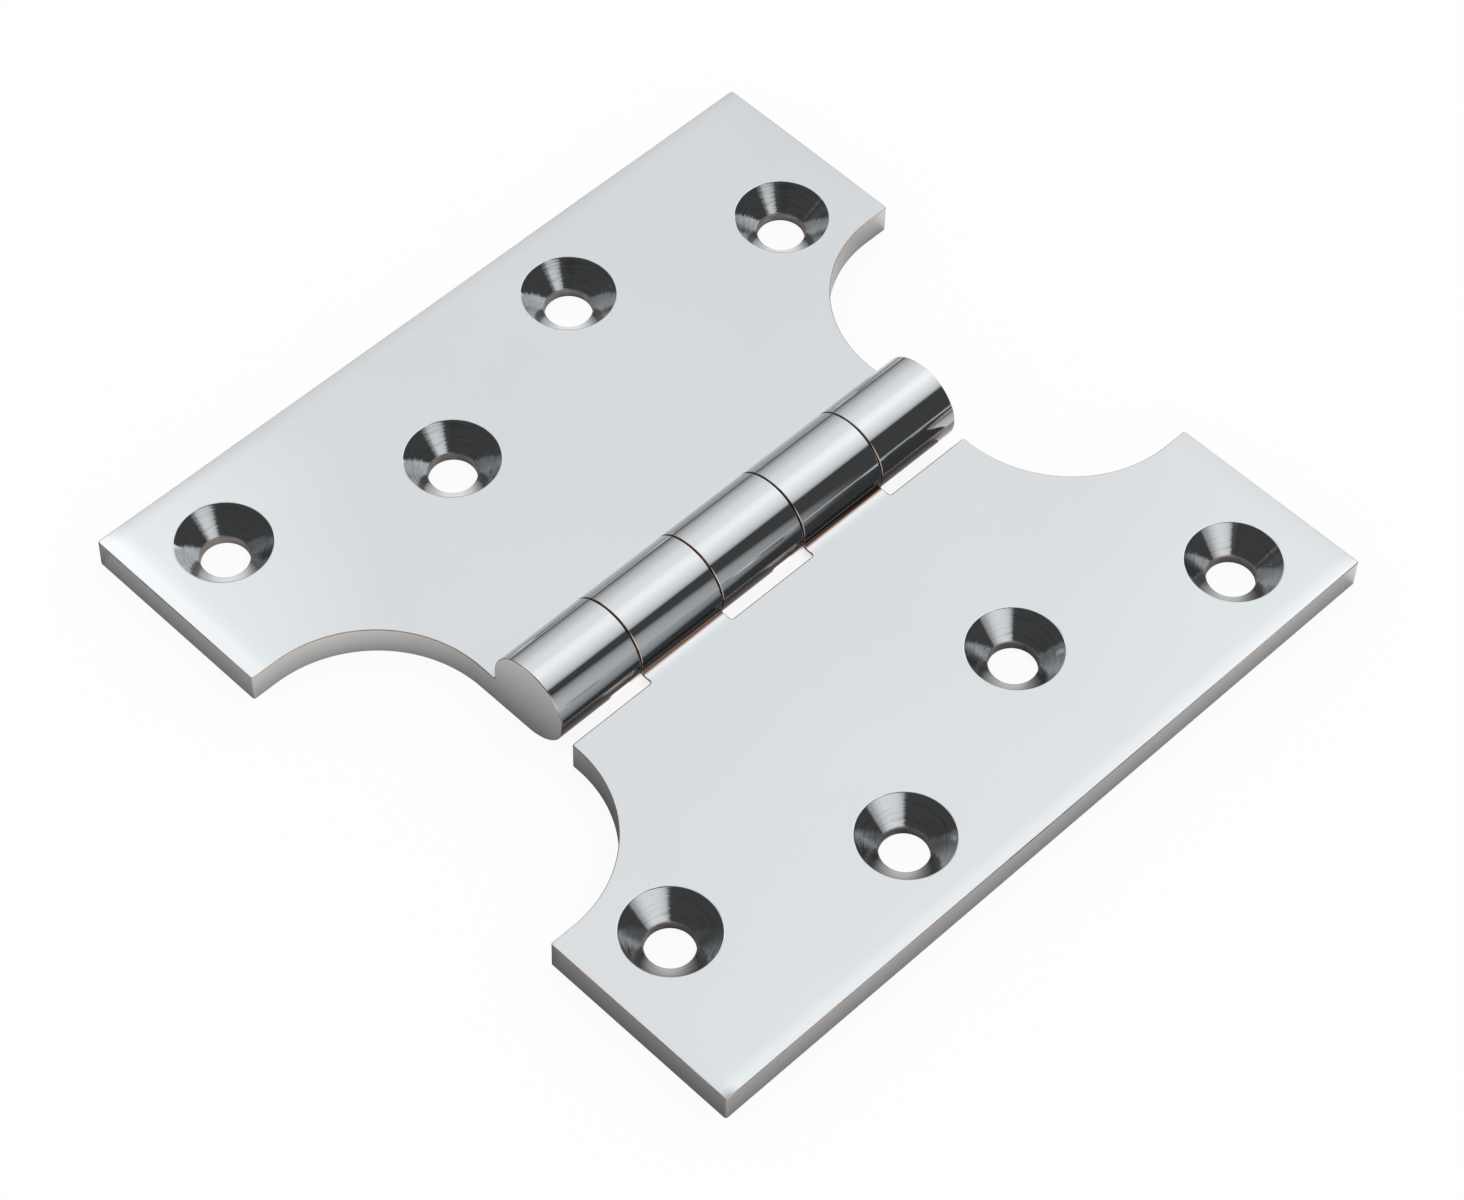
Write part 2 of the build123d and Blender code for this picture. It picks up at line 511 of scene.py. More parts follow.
@dataclass
class Leaf:
    """One leaf of the hinge with its knuckles, drawn on the +X side of the pin. Sizes are in mm."""

    name: str
    node: str
    body: str
    spans: tuple
    turn: float
    bore_radius: float
    half_length: float = 51.0
    half_width: float = 51.0
    front: float = -1.5
    back: float = -5.5
    barrel_radius: float = 5.5
    barrel_end: float = 31.5
    slot_reach: float = 7.2
    cutout_reach: float = 24.2
    cutout_radius: float = 16.2
    corner_radius: float = 0.3
    edge_round: float = 0.12
    edge_support: float = 0.04
    neck_reach: float = 6.4
    root_fillet: float = 0.4
    shank_radius: float = 2.9
    sink_radius: float = 5.75
    sink_round: float = 0.22
    shank_round: float = 0.12
    foot_round: float = 0.1
    hole_pitch: float = 27.1
    outer_row: float = 41.0
    inner_row: float = 32.0
    holes: int = 4
    root_steps: int = 8
    barrel_steps: int = 132

    def outline(self) -> list:
        """Draw the leaf's edge from neck to neck, anticlockwise.

        Returns:
            One open line of points for each stretch between two necks.
        """
        small, neck, slot = self.corner_radius, self.neck_reach, self.slot_reach
        side, top, cut = self.half_width, self.half_length, self.cutout_reach
        low, high = self.spans[0][0], self.spans[-1][1]
        right = [(cut, -self.barrel_end, self.cutout_radius), (cut, -top, small), (side, -top, small),
                 (side, top, small), (cut, top, small), (cut, self.barrel_end, self.cutout_radius)]
        if self.barrel_end - high > small:
            right = [(slot, low, small), (slot, -self.barrel_end, small)] + right + [
                (slot, self.barrel_end, small), (slot, high, small)]
        lines = [rounded_path([(neck, low, 0)] + right + [(neck, high, 0)], self.edge_support)]
        for below, above in reversed(list(zip(self.spans, self.spans[1:]))):
            lines.append(rounded_path([(neck, above[0], 0), (slot, above[0], small), (slot, below[1], small),
                                       (neck, below[1], 0)], self.edge_support))
        return lines

    def knuckle_line(self) -> list:
        """Draw the section of a knuckle with its neck, from the front of the neck round to its back.

        Returns:
            The open line's points, as (x, z).
        """
        fillet, radius = self.root_fillet, self.barrel_radius
        rise = self.front + fillet
        across = math.sqrt((radius + fillet) ** 2 - rise ** 2)
        lean = math.atan2(rise, across)
        root = arc_points(Vector((across, rise)), fillet, -math.pi / 2, -math.pi / 2 - lean, self.root_steps)
        barrel = arc_points(Vector((0, 0)), radius, lean, 1.5 * math.pi - lean, self.barrel_steps)
        points = [Vector((self.neck_reach, self.front)), Vector((across + self.edge_support, self.front))]
        return points + root + barrel[1:] + [Vector((self.edge_support, self.back)),
                                             Vector((self.neck_reach, self.back))]

    def hole_profile(self) -> tuple:
        """Draw half the section of a countersunk hole from the back face up.

        Returns:
            The line's (radius, height) points, and the radii of its two rims.
        """
        foot = self.front - (self.sink_radius - self.shank_radius)
        shank_rim = self.shank_radius + self.shank_round + self.edge_support
        sink_rim = self.sink_radius + self.sink_round * math.tan(math.pi / 8) + self.edge_support
        line = rounded_path([(shank_rim, self.back, 0), (self.shank_radius, self.back, self.shank_round),
                             (self.shank_radius, foot, self.foot_round),
                             (self.sink_radius, self.front, self.sink_round), (sink_rim, self.front, 0)],
                            self.edge_support)
        return line, shank_rim, sink_rim

    def sketch(self) -> Sketch:
        """Draw every guide that the node tree needs.

        Returns:
            The sketch.
        """
        drawn = Sketch(self.name)
        inset = self.edge_round + self.edge_support
        lines = self.outline()
        for line in lines:
            drawn.draw(Part.EDGE_PATH, line)
        drawn.draw(Part.FACE_LOOP, [point for line in lines for point in inset_path(line, inset)], closed=True)
        rows, middle = (self.outer_row, self.inner_row), (self.holes - 1) / 2
        centres = [(rows[index % 2], (middle - index) * self.hole_pitch) for index in range(self.holes)]
        drawn.draw(Part.HOLE_CENTRE, centres, joined=False)
        section = self.knuckle_line()
        drawn.draw(Part.KNUCKLE_PATH, section)
        drawn.draw(Part.CAP_LOOP, inset_path(section, inset), closed=True)
        drawn.draw(Part.HOLE_PROFILE, [(point.x - self.shank_radius, -point.y) for point in self.hole_profile()[0]])
        return drawn

    def build(self, section: Tree, finishes: dict) -> None:
        """Make the leaf and let it stand for its CAD node.

        Args:
            section: The node group of a rounded wall's section.
            finishes: The tree's material inputs by name.
        """
        _, shank_rim, sink_rim = self.hole_profile()
        lengths = {"Front Height": self.front, "Back Height": self.back, "Edge Round": self.edge_round,
                   "Edge Support": self.edge_support, "Shank Radius": self.shank_radius,
                   "Shank Rim Radius": shank_rim, "Sink Rim Radius": sink_rim, "Bore": self.bore_radius}
        sizes = {label: length * MM for label, length in lengths.items()} | {"Turn": self.turn}
        spans = [(start * MM, end * MM) for start, end in self.spans]
        tree = LeafTree(self.name + "_tree", spans, section, sizes, finishes).build()
        leaf = baked(self.sketch().as_object(), tree)
        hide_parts(self.node)
        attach(leaf, self.body)
        LOG.info("%s: %d faces", self.name, len(leaf.data.polygons))


def baked(sketch: bpy.types.Object, tree: Tree, smooth_below: float = 35.0) -> bpy.types.Object:
    """Run a node tree on a sketch and keep the result as a plain mesh.

    Args:
        sketch: The object that the tree reads.
        tree: The geometry tree.
        smooth_below: Edges that bend less than this many degrees are shaded smooth.

    Returns:
        The same object with its finished mesh and no modifier.
    """
    modifier = sketch.modifiers.new("build", "NODES")
    modifier.node_group = tree
    for item in tree.interface.items_tree:
        if item.in_out == "INPUT" and item.socket_type != "NodeSocketGeometry":
            modifier[item.identifier] = item.default_value
    graph = bpy.context.evaluated_depsgraph_get()
    mesh = bpy.data.meshes.new_from_object(sketch.evaluated_get(graph), depsgraph=graph)
    sketch.modifiers.remove(modifier)
    sketch.data = mesh
    while None in mesh.materials[:]:
        mesh.materials.pop(index=mesh.materials[:].index(None))
    mesh.shade_smooth()
    mesh.set_sharp_from_angle(angle=math.radians(smooth_below))
    return sketch


@dataclass
class Effects:
    """The shader node groups that the finishes share."""

    patch_scale: float = 600.0
    patch_strength: float = 1.6
    bare_above: float = 0.9
    cloud_scale: float = 45.0
    cloud_run: tuple = (0.35, 0.65)
    unevenness: float = 0.05
    brass_tones: tuple = (0.5, 1.6)

    def __post_init__(self) -> None:
        """Build every group once."""
        self.worn_plate = self.build_worn_plate()
        self.polish_lines = self.build_polish_lines()
        self.turned_rings = self.build_turned_rings()

    def build_worn_plate(self) -> Tree:
        """Build the group for chrome that is slightly uneven, and worn through where it is exposed.

        Returns:
            The group, which gives the colour.
        """
        net, given, leave = new_tree(
            "worn_plate", "Shader",
            [("Chrome", "Color"), ("Undercoat", "Color"), ("Exposed", "Float"), ("Wear", "Float")],
            [("Colour", "Color")])
        place = net.place()
        patches, cloud = net.noise(place, self.patch_scale, 3.0), net.noise(place, self.cloud_scale, 2.0)
        spread = net.total(net.product(patches, self.patch_strength), given["Wear"], -self.bare_above)
        mask = net.out("ShaderNodeClamp", {0: net.product(spread, given["Exposed"])})
        tone = net.total(net.product(cloud, self.unevenness), 1 - self.unevenness / 2)
        plate = net.vector("MULTIPLY", given["Chrome"], tone)
        brass = net.vector("MULTIPLY", given["Undercoat"], net.ramp(cloud, *self.cloud_run, *self.brass_tones))
        net.feed(leave, {"Colour": net.blend(mask, plate, brass)})
        return net.tree

    def build_polish_lines(self) -> Tree:
        """Build the group for fine straight marks of a buffing wheel or a grinding belt.

        Returns:
            The group, which gives the marks' height in metres and their mask.
        """
        net, given, leave = new_tree("polish_lines", "Shader", [("Across", "Vector"), ("Depth", "Float")],
                                     [("Height", "Float"), ("Streak", "Float")])
        marks = net.noise(net.vector("MULTIPLY", net.place(), given["Across"]), 1.0, 4.0, 0.65)
        net.feed(leave, {"Height": net.product(marks, given["Depth"]), "Streak": marks})
        return net.tree

    def build_turned_rings(self) -> Tree:
        """Build the group for the rings that a turning tool leaves round an axis.

        Returns:
            The group, which gives the rings' height in metres, their mask and the distance from the axis.
        """
        net, given, leave = new_tree(
            "turned_rings", "Shader",
            [("From Axis", "Vector"), ("Rings", "Float"), ("Wander", "Float"), ("Depth", "Float")],
            [("Height", "Float"), ("Streak", "Float"), ("Distance", "Float")])
        parts = net.parts(given["From Axis"])
        flat = net.joined(parts[0], parts[1])
        distance = net.vector("LENGTH", flat)
        turned = net.parts(net.vector("MULTIPLY", net.vector("NORMALIZE", flat), given["Wander"]))
        spot = net.joined(turned[0], turned[1], net.product(distance, given["Rings"]))
        rings = net.noise(spot, 1.0, 3.0, 0.6)
        net.feed(leave, {"Height": net.product(rings, given["Depth"]), "Streak": rings,
                         "Distance": distance})
        return net.tree


class Marks(NamedTuple):
    """What one operation left on a surface: bared undercoat, roughness, and height in metres."""

    bare: Socket
    roughness: Socket
    height: Socket


@dataclass(frozen=True)
class Finish:
    """Chrome plate on brass, with the surface that one operation left on it."""

    effects: Effects
    name: str = "plated"
    roughness: float = 0.05
    wear: float = 0.4
    chrome: tuple = (0.672, 0.701, 0.723, 1.0)
    undercoat: tuple = (0.36, 0.20, 0.14, 1.0)
    across: tuple = (2500.0, 60.0, 2500.0)
    line_depth: float = 1e-7
    swing: float = 0.05
    rings: float = 3200.0
    wander: float = 1.1
    ring_depth: float = 1.5e-5
    rise_start: float = 0.0072
    rise_end: float = 0.0057
    rise_slope: float = 0.19

    def material(self) -> bpy.types.Material:
        """Build the material.

        Returns:
            A node material ready for a slot.
        """
        material = bpy.data.materials.new(self.name)
        material.use_nodes = True
        net = Net(material.node_tree)
        marks = self.surface(net)
        plate = net.group(self.effects.worn_plate, {"Chrome": self.chrome, "Undercoat": self.undercoat,
                                                    "Exposed": marks.bare, "Wear": self.wear})
        bump = net.out("ShaderNodeBump", {"Height": marks.height, "Strength": 1.0, "Distance": 1.0})
        colour = self.tinted(net, plate.outputs["Colour"])
        net.feed(material.node_tree.nodes["Principled BSDF"],
                 {"Metallic": 1.0, "Base Color": colour, "Roughness": marks.roughness, "Normal": bump})
        return material

    def tinted(self, _wiring: Net, plate: Socket) -> Socket:
        """Leave the plate's colour as it is."""
        return plate

    def lines(self, net: Net) -> Sockets:
        """Draw polish lines, so many to the metre along each axis."""
        return net.group(self.effects.polish_lines, {"Across": self.across, "Depth": self.line_depth}).outputs

    def ringed(self, net: Net, axis: Socket) -> Sockets:
        """Turn rings round an axis, so many to the metre."""
        return net.group(self.effects.turned_rings, {"From Axis": axis, "Rings": self.rings,
                                                     "Wander": self.wander, "Depth": self.ring_depth}).outputs

    def root_rise(self, net: Net, along: Socket) -> Socket:
        """Let the front sweep up into the barrel's root by its distance from the pin, as the wheel leaves it."""
        share = net.ramp(along, self.rise_start, self.rise_end)
        return net.product(net.maths("POWER", share, 2.0),
                           self.rise_slope * (self.rise_start - self.rise_end) / 2)

    def rounding(self, net: Net) -> Socket:
        """Read whether a point lies on a rounded edge."""
        return net.add("ShaderNodeAttribute", attribute_name="rounding").outputs["Fac"]

    def rough(self, net: Net, streak: Socket) -> Socket:
        """Let the roughness swing about its mean with the marks."""
        return net.total(net.product(net.minus(streak, 0.5), self.swing), self.roughness)

    def surface(self, net: Net) -> Marks:
        """Draw faint lines along the pin."""
        lines = self.lines(net)
        return Marks(self.rounding(net), self.rough(net, lines["Streak"]), lines["Height"])


@dataclass(frozen=True)
class PolishedFront(Finish):
    """The mirror-polished front, which the buffing wheel has rolled off towards its edges."""

    name: str = "polished_front"
    roughness: float = 0.035
    across: tuple = (1800.0, 40.0, 0.0)
    line_depth: float = 3e-8
    swing: float = 0.03
    half_size: float = 0.051
    side_band: float = 0.0025
    end_band: float = 0.0045
    slope: float = 0.125

    def rolled(self, net: Net, along: Socket, band: float) -> Socket:
        """Let the front fall away in a band along the two edges that lie across one axis."""
        share = net.ramp(along, self.half_size - band, self.half_size)
        return net.product(net.maths("POWER", share, 3.0), -self.slope * band / 3)

    def surface(self, net: Net) -> Marks:
        """Roll the front off near its edges and mark it with a few hairlines.

        Args:
            net: The material's net.

        Returns:
            The finish's marks.
        """
        parts = net.parts(net.vector("ABSOLUTE", net.place()))
        lines = self.lines(net)
        height = net.total(self.rolled(net, parts[0], self.side_band),
                           self.rolled(net, parts[1], self.end_band),
                           self.root_rise(net, parts[0]), lines["Height"])
        return Marks(self.rounding(net), self.rough(net, lines["Streak"]), height)


@dataclass(frozen=True)
class PolishedBarrel(Finish):
    """The polished barrel, with painted shade, dark and brown, low down on one side in its root."""

    name: str = "polished_barrel"
    roughness: float = 0.06
    wear: float = 0.85
    undercoat: tuple = (0.50, 0.33, 0.26, 1.0)
    across: tuple = (2500.0, 90.0, 2500.0)
    line_depth: float = 3e-7
    swing: float = 0.06
    radius: float = 0.0055
    lean: float = 0.0
    root_top: tuple = (0.0007, 0.00025)
    root_low: tuple = (-0.001, -0.0011)
    root_reach: tuple = (0.00586, 0.00574)
    neck_front: float = -0.0016
    # Painted shade for the root on one side of the barrel: a dark brown, and below it a pinkish brown in the
    # fillet.
    root_shade_tone: tuple = (0.25, 0.215, 0.2, 1.0)
    fillet: tuple = (0.42, 0.30, 0.25, 1.0)

    def surface(self, net: Net) -> Marks:
        """Draw faint lines along the pin, lean the polish and sweep the neck up into its root.

        Args:
            net: The material's net.

        Returns:
            The finish's marks.
        """
        parts = net.parts(net.place())
        lines = self.lines(net)
        turned = net.maths("ARCTAN2", parts[0], net.maths("MAXIMUM", parts[2], 1e-6))
        height = net.total(lines["Height"], self.root_rise(net, net.maths("ABSOLUTE", parts[0])),
                           net.product(turned, self.lean * self.radius))
        return Marks(self.rounding(net), self.rough(net, lines["Streak"]), height)

    def tinted(self, net: Net, plate: Socket) -> Socket:
        """Lay painted shade over the plate in the root on one side: dark brown above, pinkish brown in the fillet.

        Args:
            net: The material's net.
            plate: The plate's colour.

        Returns:
            The colour to show.
        """
        x, _, z = net.parts(net.place())
        top, low = net.ramp(z, *self.root_top), net.ramp(z, *self.root_low)
        # Painted shade: the mask of the root's crease, on the +X side only, between the neck's front and the
        # barrel.
        painted_root_shade = net.product(top, net.ramp(x, *self.root_reach), net.maths("GREATER_THAN", x, 0.0),
                           net.maths("GREATER_THAN", z, self.neck_front))
        return net.blend(painted_root_shade, plate, net.blend(low, self.root_shade_tone, self.fillet))


@dataclass(frozen=True)
class TurnedHole(Finish):
    """The countersinks, cut with a turning tool that left rings, over shanks coloured a darker brown-grey."""

    name: str = "turned_countersink"
    roughness: float = 0.075
    wear: float = 1.0
    undercoat: tuple = (0.44, 0.385, 0.36, 1.0)
    swing: float = 0.1
    scoring: float = 2.6
    shank_from: float = 0.00312
    shank_to: float = 0.00292
    shank_roughness: float = 0.5

    def surface(self, net: Net) -> Marks:
        """Ring the countersink, and give the shank below it the brown-grey undercoat and more roughness.

        Args:
            net: The material's net.

        Returns:
            The finish's marks.
        """
        axis = net.add("ShaderNodeAttribute", attribute_name="from_hole_axis").outputs["Vector"]
        turned = self.ringed(net, axis)
        # The shank below the countersink takes the brown-grey undercoat and a rougher surface.
        bare = net.ramp(turned["Distance"], self.shank_from, self.shank_to)
        rough = net.total(self.rough(net, turned["Streak"]), net.product(bare, self.shank_roughness))
        scored = net.product(net.minus(turned["Streak"], 0.5), self.scoring)
        return Marks(net.maths("MAXIMUM", bare, scored), rough, turned["Height"])


@dataclass(frozen=True)
class SatinEdge(Finish):
    """The milled sides of the leaves, satin, with fine lines along them."""

    name: str = "satin_edge"
    roughness: float = 0.3
    chrome: tuple = (0.70, 0.695, 0.69, 1.0)
    wear: float = 0.95
    undercoat: tuple = (0.60, 0.40, 0.29, 1.0)
    across: tuple = (70.0, 70.0, 9000.0)
    line_depth: float = 4e-7
    swing: float = 0.16
    grain_depth: float = 2.5e-6
    worn_roughness: float = 0.3

    def surface(self, net: Net) -> Marks:
        """Draw the lines of the cutter and a fine grain.

        Args:
            net: The material's net.

        Returns:
            The finish's marks.
        """
        lines, worn = self.lines(net), self.rounding(net)
        grain = net.group(self.effects.polish_lines, {"Across": GRAIN, "Depth": self.grain_depth}).outputs
        rough = net.total(self.rough(net, lines["Streak"]), net.product(worn, self.worn_roughness))
        return Marks(worn, rough, net.total(lines["Height"], grain["Height"]))


@dataclass(frozen=True)
class FacedEnd(Finish):
    """The faced ends of the knuckles, with faint rings round the pin and a grain of polish."""

    name: str = "faced_end"
    roughness: float = 0.28
    chrome: tuple = (0.70, 0.695, 0.69, 1.0)
    across: tuple = GRAIN
    line_depth: float = 4e-7
    swing: float = 0.14
    rings: float = 2600.0
    wander: float = 2.0
    ring_depth: float = 6e-7

    def surface(self, net: Net) -> Marks:
        """Ring the end round the pin's axis.

        Args:
            net: The material's net.

        Returns:
            The finish's marks.
        """
        x, _, z = net.parts(net.place())
        turned = self.ringed(net, net.joined(x, z))
        height = net.total(turned["Height"], self.lines(net)["Height"])
        return Marks(self.rounding(net), self.rough(net, turned["Streak"]), height)


@dataclass
class Camera:
    """The camera that took the reference view."""

    place: tuple = (0.21039, -0.22026, 0.39601)
    turn: tuple = (0.87457, 0.29537, 0.11211, 0.36785)
    lens: float = 107.765

    def build(self) -> None:
        """Put the camera in the scene and make it the active one."""
        data = bpy.data.cameras.new("camera")
        data.lens, data.sensor_width, data.sensor_fit = self.lens, 36.0, "HORIZONTAL"
        data.clip_start, data.clip_end = 0.01, 100.0
        camera = placed("camera", data)
        camera.rotation_mode = "QUATERNION"
        camera.location, camera.rotation_quaternion = self.place, Quaternion(self.turn)
        bpy.context.scene.camera = camera


def bare_material(name: str) -> tuple:
    """Start a material that has no nodes.

    Args:
        name: The material's name.

    Returns:
        The material and its net.
    """
    material = bpy.data.materials.new(name)
    material.use_nodes = True
    material.node_tree.nodes.clear()
    return material, Net(material.node_tree)


@dataclass
class Studio:
    """The pale floor, the soft light and the cards that the chrome mirrors. Lengths are in mm."""

    floor_level: float = -5.5
    floor_cards: float = -5.48
    hole_cards: float = -5.47
    floor_size: float = 6000.0
    left: float = -600.0
    far: float = 1200.0
    floor_glow: float = 0.9
    wall: float = 480.0
    ceiling: float = 500.0
    ceiling_edge: float = 433.0
    charcoal: float = 0.06
    panel_distance: float = 340.0
    panel_turn: tuple = (60.0, 80.0)
    slot_shade: float = 0.22
    slot_end_shade: float = 1.11
    shadow_steps: tuple = (0.0, 0.5, 2.0, 5.5, 12.0)
    shadow_shades: tuple = (0.17, 0.2, 0.3, 0.5, 0.62)
    shadow_lean: float = 0.8
    left_limit: float = -0.4
    far_shade: float = 0.85
    far_lean: float = 0.9
    end_lean: float = 0.16
    end_reach: float = 8.0

    def card(self, name: str, rows: list, shades: list) -> None:
        """Stand one card that only mirrors see.

        Args:
            name: The card's name.
            rows: Rows of points in mm, each as long as the next.
            shades: How bright the card is at each point, row by row, where 1 is white.
        """
        width = len(rows[0])
        corners = [row * width + column for row in range(len(rows) - 1) for column in range(width - 1)]
        mesh = bpy.data.meshes.new(name)
        mesh.from_pydata([Vector(point) * MM for row in rows for point in row], [],
                         [(first, first + 1, first + width + 1, first + width) for first in corners])
        values = [shade for row in shades for shade in row]
        mesh.attributes.new("shade", "FLOAT", "POINT").data.foreach_set("value", values)
        material, net = bare_material(name)
        shade = net.add("ShaderNodeAttribute", attribute_name="shade").outputs["Fac"]
        glow = net.out("ShaderNodeEmission", {"Color": WHITE, "Strength": shade})
        net.add("ShaderNodeOutputMaterial", {"Surface": glow})
        mesh.materials.append(material)
        card = placed(name, mesh)
        card.visible_camera = card.visible_diffuse = card.visible_shadow = False

    def plain(self, name: str, corners: list, shade: float) -> None:
        """Stand a four-cornered card of one shade, its corners given in order."""
        first, second, third, fourth = corners
        self.card(name, [[first, second], [fourth, third]], [[shade] * 2] * 2)

    def floor(self) -> None:
        """Lay the pale floor, which shows white and keeps the hinge's shadow."""
        half = self.floor_size / 2 * MM
        mesh = bpy.data.meshes.new("floor")
        mesh.from_pydata([(-half, -half, 0), (half, -half, 0), (half, half, 0), (-half, half, 0)], [],
                         [(0, 1, 2, 3)])
        material, net = bare_material("pale_floor")
        diffuse = net.out("ShaderNodeBsdfDiffuse", {"Color": (0.97, 0.97, 0.97, 1)})
        white = net.out("ShaderNodeEmission", {"Color": WHITE, "Strength": 1.0})
        path = net.add("ShaderNodeLightPath").outputs
        seen = net.maths("MAXIMUM", net.maths("MAXIMUM", path["Is Camera Ray"], path["Is Glossy Ray"]),
                         path["Is Transmission Ray"])
        mixed = net.out("ShaderNodeMixShader", {0: net.product(seen, self.floor_glow), 1: diffuse, 2: white})
        net.add("ShaderNodeOutputMaterial", {"Surface": mixed})
        mesh.materials.append(material)
        floor = placed("floor", mesh)
        floor.location.z = self.floor_level * MM

    def build(self) -> None:
        """Lay the floor, light the room and stand the cards."""
        scene = bpy.context.scene
        scene.view_settings.view_transform = "Standard"
        world = bpy.data.worlds.new("pale_room")
        scene.world = world
        world.use_nodes = True
        Net(world.node_tree).feed(world.node_tree.nodes["Background"], {"Color": WHITE, "Strength": 1.0})
        self.floor()
        self.softbox()
        self.dark_walls()
        self.left_wall()
        self.pale_panel()
        self.floor_shadow()
        self.hole_floors()

    def softbox(self) -> None:
        """Hang the softbox over the far side, and a dim ceiling over the near side."""
        high, edge = self.ceiling, self.ceiling_edge
        across = [edge, 408, 383, 347, 301, 202, 106, 0, -45, -106, -160, -223, -363, self.left]
        middle = [0.06, 0.25, 0.45, 0.60, 0.72, 0.90, 1.05, 1.22, 1.21, 1.20, 1.08, 1.03, 1.0, 0.88]
        shaded = [0.12] * 8 + [0.6, 1.0, 1.0, 1.04, 1.42, 1.3]
        lifting = [0.15] * 8 + [0.75, 1.05, 1.04, 1.04, 1.42, 1.3]
        nearer, between = middle[:10] + [1.05, 1.04, 1.4, 1.3], middle[:10] + [1.06, 1.03, 1.24, 1.1]
        far = [shade * 1.12 for shade in middle[:9]] + [1.25, 1.12, 1.04, 0.97, 0.85]
        along = [-60, 50, 110, 150, 230, 400, self.far]
        self.card("softbox", [[(x, y, high) for x in across] for y in along],
                  [shaded, lifting, nearer, between, middle, far, far])
        self.card("dim_ceiling",
                  [[(x, y, high) for x in (self.left, -400, -200, -60, edge)] for y in (-480, -300, -60)],
                  [[0.5, 0.42, 0.16, 0.05, 0.05], [0.5, 0.52, 0.36, 0.09, 0.055], [0.5, 0.48, 0.4, 0.3, 0.2]])

    def dark_walls(self) -> None:
        """Stand the charcoal walls on the right, near and far sides."""
        level, wall, dark = self.floor_level, self.wall, self.charcoal
        top = wall * self.ceiling / self.ceiling_edge
        self.plain("dark_wall_right", [(wall, -wall, level), (wall, 1300, level), (wall, 1300, top),
                                       (wall, -wall, top)], dark)
        self.card("dark_wall_near", [[(x, -wall, z) for z in (level, 420, high)]
                                     for x, high in ((self.left, 500), (-200, 500), (100, 520), (wall, top))],
                  [[dark, dark, 0.25], [dark] * 3, [dark] * 3, [dark] * 3])
        self.plain("dark_wall_far", [(40, self.far, level), (wall, self.far, level),
                                     (wall, self.far, self.ceiling), (40, self.far, self.ceiling)], dark)

    def left_wall(self) -> None:
        """Stand the left wall, which is dark near the camera and pale above its horizon further back."""
        heights = [self.floor_level, 10, 84, 195, 285, 346, self.ceiling]
        along = [-480, -300, -60, 200, 900]
        dark, dim = [0.06, 0.06, 0.06, 0.06, 0.06, 0.18, 0.5], [0.055, 0.055, 0.06, 0.12, 0.25, 0.35, 0.45]
        pale = [0.15, 0.2, 0.4, 0.6, 0.68, 0.73, 0.85]
        self.card("left_wall", [[(self.left, y, z) for z in heights] for y in along], [dark, dark, dim, pale, pale])
        level = self.floor_cards
        self.plain("left_floor", [(self.left, -200, level), (-100, -200, level), (-100, 900, level),
                                  (self.left, 900, level)], 0.15)
        self.card("right_floor", [[(x, y, level) for x in (64, 479)] for y in (-400, 100, 160, 230, self.far)],
                  [[0.55] * 2, [0.5] * 2, [0.34] * 2, [0.2] * 2, [0.2] * 2])

    def pale_panel(self) -> None:
        """Stand the pale panel on the right, which fades upwards and towards the far side."""
        rising = [0.0, 0.27, 0.39, 0.5, 0.64, 0.74, 0.82, 0.92, 1.0]
        near_shares = [1.0, 1.0, 1.0, 1.0, 0.935, 0.83, 0.72, 0.4, 0.06]
        far_shares = [1.0, 0.93, 0.89, 0.82, 0.7, 0.56, 0.45, 0.25, 0.06]
        slant = [0, 0, 4, 11, 20, 29, 33, 38, 42]
        along = [-420, -276, -184, -118, -60, 0, 60, 90, 120, 142, 158, 172, 184, 192, 197]
        tops = [240, 285, 332, 380, 390, 395, 390, 365, 340, 325, 315, 312, 310, 308, 307]
        fading = [0.8, 0.86, 0.88, 0.9, 0.92, 0.92, 0.78, 0.68, 0.56, 0.5, 0.45, 0.37, 0.22, 0.1, 0.058]
        level, rows, shades = self.floor_level, [], []
        start, run = self.panel_turn
        for y, top, shade in zip(along, tops, fading):
            turn = max(0.0, min(1.0, (y - start) / run))
            rows.append([(self.panel_distance, y - turn * back, level + share * (top - level))
                         for share, back in zip(rising, slant)])
            shades.append([shade * (near + turn * (far - near)) for near, far in zip(near_shares, far_shares)])
        self.card("pale_panel", rows, shades)

    def hole_floors(self) -> None:
        """Shade the floor at the bottom of each screw hole, darker towards its far side."""
        across, along = (-3.2, -1.3, 0, 1.2, 3.2), (-3.2, -1.5, 0, 1.1, 2.4, 3.2)
        shares, centre = (0.4, 0.72, 1, 1, 0.9), (Leaf.holes - 1) / 2
        for side, shades in ((-1, (0.7, 0.82, 0.86, 0.72, 0.3, 0.2)), (1, (0.62, 0.6, 0.52, 0.28, 0.12, 0.1))):
            for index in range(Leaf.holes):
                row = (Leaf.inner_row, Leaf.outer_row)[(index + (side < 0)) % 2]
                middle = Vector((side * row, Leaf.hole_pitch * (index - centre), self.hole_cards))
                rows = [[middle + Vector((x, y, 0)) for x in across] for y in along]
                self.card("hole_floor", rows, [[shade * share for share in shares] for shade in shades])

